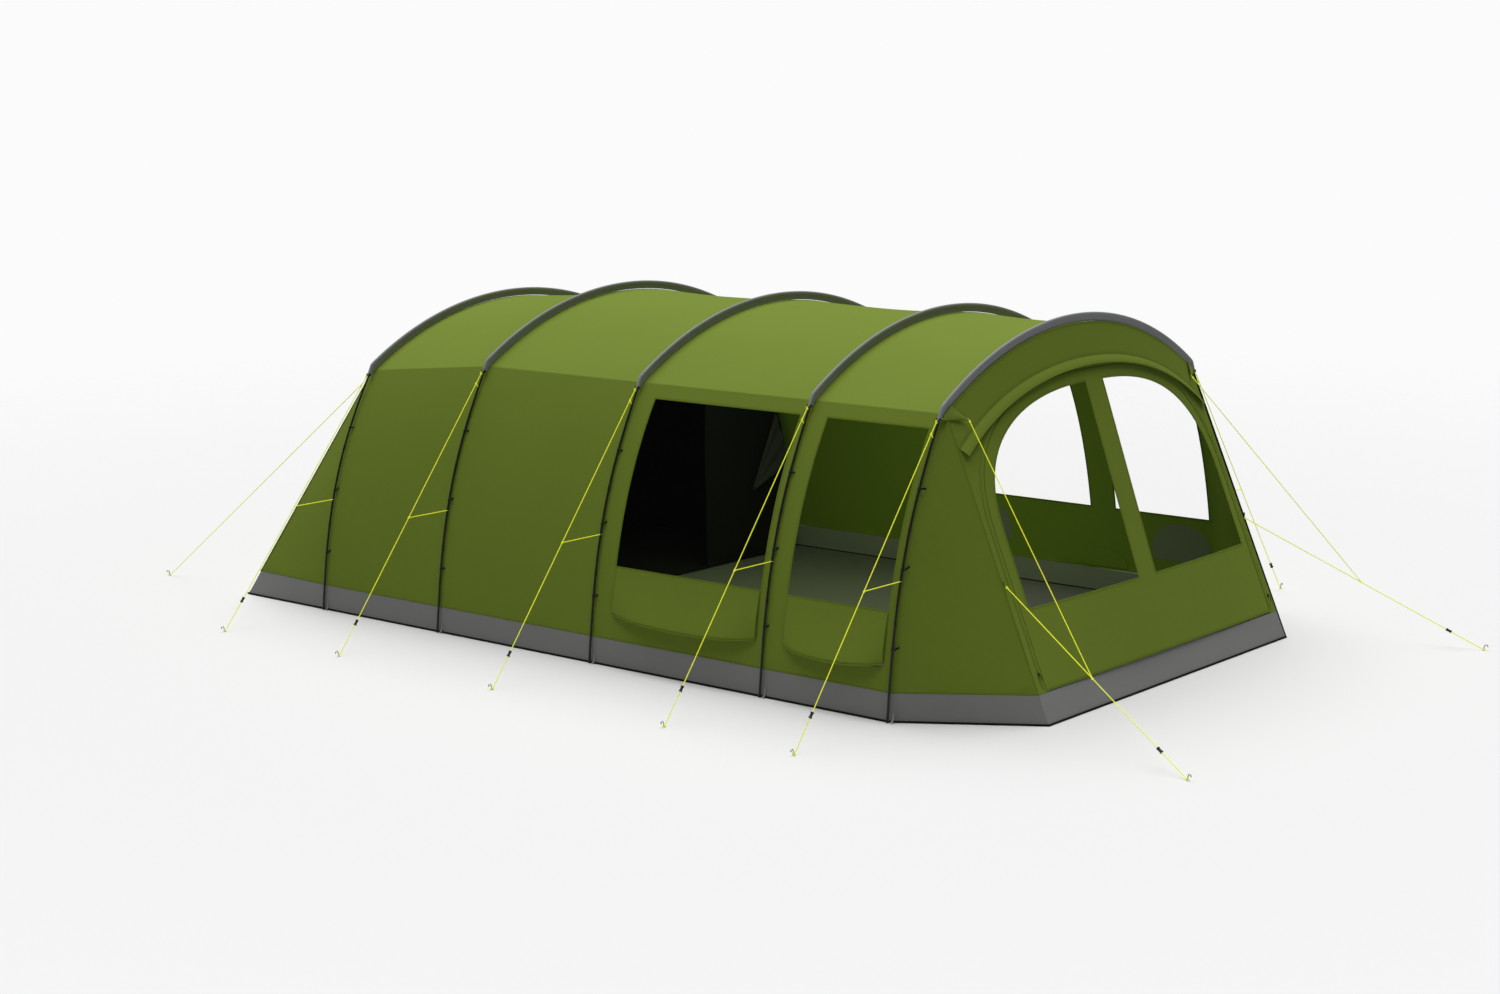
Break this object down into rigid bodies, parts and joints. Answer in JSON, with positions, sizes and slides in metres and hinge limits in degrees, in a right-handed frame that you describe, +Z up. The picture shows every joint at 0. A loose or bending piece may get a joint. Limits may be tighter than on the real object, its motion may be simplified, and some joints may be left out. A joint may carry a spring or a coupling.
{
  "type": "tunnel tent",
  "caption": "Family tunnel tent on arched poles, with a sloping windowed front door, side windows and vents, a bedroom, a tub groundsheet and pegged guy lines.",
  "frame": {"origin": "on the ground, under the middle of the groundsheet", "axes": "+X towards the front door, +Y towards the right-hand side seen from inside facing the door's hinge line, +Z up"},
  "size_m": [8.3179, 5.4856, 2.15],
  "materials": {
    "roof_fabric": "coated polyester",
    "wall_fabric": "coated polyester",
    "sleeve_fabric": "woven polyester",
    "groundsheet_sheet": "coated polyethylene",
    "window_film": "clear film",
    "bedroom_fabric": "breathable polyester",
    "pole_steel": "black powder coat",
    "zip_metal": "black enamel",
    "guy_cord": "braided cord",
    "runner_plastic": "moulded nylon"
  },
  "bodies": {
    "root": {"groundsheet": "groundsheet_sheet", "main_bedroom": "bedroom_fabric", "arch_pole_1": "pole_steel", "arch_pole_2": "pole_steel", "arch_pole_3": "pole_steel", "arch_pole_4": "pole_steel", "arch_pole_5": "pole_steel", "sleeve_1": "sleeve_fabric", "sleeve_2": "sleeve_fabric", "sleeve_3": "sleeve_fabric", "sleeve_4": "sleeve_fabric", "sleeve_5": "sleeve_fabric", "roof_panel_1": "roof_fabric", "roof_panel_2": "roof_fabric", "roof_panel_3": "roof_fabric", "roof_panel_4": "roof_fabric", "rear_panel": "roof_fabric", "left_wall": "wall_fabric", "right_wall": "wall_fabric", "front_surround": "wall_fabric", "storm_hood": "wall_fabric", "left_window_1": "window_film", "left_window_2": "window_film", "right_window_1": "window_film", "right_window_2": "window_film", "guy_left_1": "guy_cord", "guy_left_2": "guy_cord", "guy_left_3": "guy_cord", "guy_left_4": "guy_cord", "guy_left_5": "guy_cord", "guy_left_front": "guy_cord", "guy_right_1": "guy_cord", "guy_right_2": "guy_cord", "guy_right_3": "guy_cord", "guy_right_4": "guy_cord", "guy_right_5": "guy_cord", "guy_right_front": "guy_cord"},
    "door": {"front_door": "wall_fabric", "door_window_left": "window_film", "door_window_right": "window_film"},
    "left_vent_1": {"left_vent_1": "wall_fabric"},
    "left_vent_2": {"left_vent_2": "wall_fabric"},
    "right_vent_1": {"right_vent_1": "wall_fabric"},
    "right_vent_2": {"right_vent_2": "wall_fabric"},
    "zip_slider_left": {"zip_slider_left": "zip_metal"},
    "zip_slider_right": {"zip_slider_right": "zip_metal"},
    "runner_left_1": {"runner_left_1": "runner_plastic"},
    "runner_left_2": {"runner_left_2": "runner_plastic"},
    "runner_left_3": {"runner_left_3": "runner_plastic"},
    "runner_left_4": {"runner_left_4": "runner_plastic"},
    "runner_left_5": {"runner_left_5": "runner_plastic"},
    "runner_left_front": {"runner_left_front": "runner_plastic"},
    "runner_right_1": {"runner_right_1": "runner_plastic"},
    "runner_right_2": {"runner_right_2": "runner_plastic"},
    "runner_right_3": {"runner_right_3": "runner_plastic"},
    "runner_right_4": {"runner_right_4": "runner_plastic"},
    "runner_right_5": {"runner_right_5": "runner_plastic"},
    "runner_right_front": {"runner_right_front": "runner_plastic"}
  },
  "joints": [
    {"name": "door_fold", "type": "hinge", "parent": "root", "child": "door", "pos_m": [3.063, 0, 0.176], "axis": [0, 1, 0], "range_deg": [0, 105]},
    {"name": "left_vent_1_lift", "type": "hinge", "parent": "root", "child": "left_vent_1", "pos_m": [0.8355, -1.81988, 0.607], "axis": [-1, 0, 0], "range_deg": [0, 25]},
    {"name": "left_vent_2_lift", "type": "hinge", "parent": "root", "child": "left_vent_2", "pos_m": [1.9645, -1.81988, 0.607], "axis": [-1, 0, 0], "range_deg": [0, 25]},
    {"name": "right_vent_1_lift", "type": "hinge", "parent": "root", "child": "right_vent_1", "pos_m": [0.8355, 1.81988, 0.607], "axis": [1, 0, 0], "range_deg": [0, 25]},
    {"name": "right_vent_2_lift", "type": "hinge", "parent": "root", "child": "right_vent_2", "pos_m": [1.9645, 1.81988, 0.607], "axis": [1, 0, 0], "range_deg": [0, 25]},
    {"name": "zip_slider_left_slide", "type": "slide", "parent": "root", "child": "zip_slider_left", "axis": [-0.3931, 0, 0.9195], "range_m": [0, 0.74]},
    {"name": "zip_slider_right_slide", "type": "slide", "parent": "root", "child": "zip_slider_right", "axis": [-0.3931, 0, 0.9195], "range_m": [0, 0.74]},
    {"name": "runner_left_1_slide", "type": "slide", "parent": "root", "child": "runner_left_1", "axis": [0, 0.6406, 0.7679], "range_m": [0, 0.6]},
    {"name": "runner_left_2_slide", "type": "slide", "parent": "root", "child": "runner_left_2", "axis": [0, 0.6151, 0.7885], "range_m": [0, 0.6]},
    {"name": "runner_left_3_slide", "type": "slide", "parent": "root", "child": "runner_left_3", "axis": [0, 0.6151, 0.7885], "range_m": [0, 0.6]},
    {"name": "runner_left_4_slide", "type": "slide", "parent": "root", "child": "runner_left_4", "axis": [0, 0.6151, 0.7885], "range_m": [0, 0.6]},
    {"name": "runner_left_5_slide", "type": "slide", "parent": "root", "child": "runner_left_5", "axis": [0, 0.6151, 0.7885], "range_m": [0, 0.6]},
    {"name": "runner_left_front_slide", "type": "slide", "parent": "root", "child": "runner_left_front", "axis": [-0.8526, 0.2804, 0.4409], "range_m": [0, 0.42]},
    {"name": "runner_right_1_slide", "type": "slide", "parent": "root", "child": "runner_right_1", "axis": [0, -0.6406, 0.7679], "range_m": [0, 0.6]},
    {"name": "runner_right_2_slide", "type": "slide", "parent": "root", "child": "runner_right_2", "axis": [0, -0.6151, 0.7885], "range_m": [0, 0.6]},
    {"name": "runner_right_3_slide", "type": "slide", "parent": "root", "child": "runner_right_3", "axis": [0, -0.6151, 0.7885], "range_m": [0, 0.6]},
    {"name": "runner_right_4_slide", "type": "slide", "parent": "root", "child": "runner_right_4", "axis": [0, -0.6151, 0.7885], "range_m": [0, 0.6]},
    {"name": "runner_right_5_slide", "type": "slide", "parent": "root", "child": "runner_right_5", "axis": [0, -0.6151, 0.7885], "range_m": [0, 0.6]},
    {"name": "runner_right_front_slide", "type": "slide", "parent": "root", "child": "runner_right_front", "axis": [-0.8526, -0.2804, 0.4409], "range_m": [0, 0.42]}
  ]
}
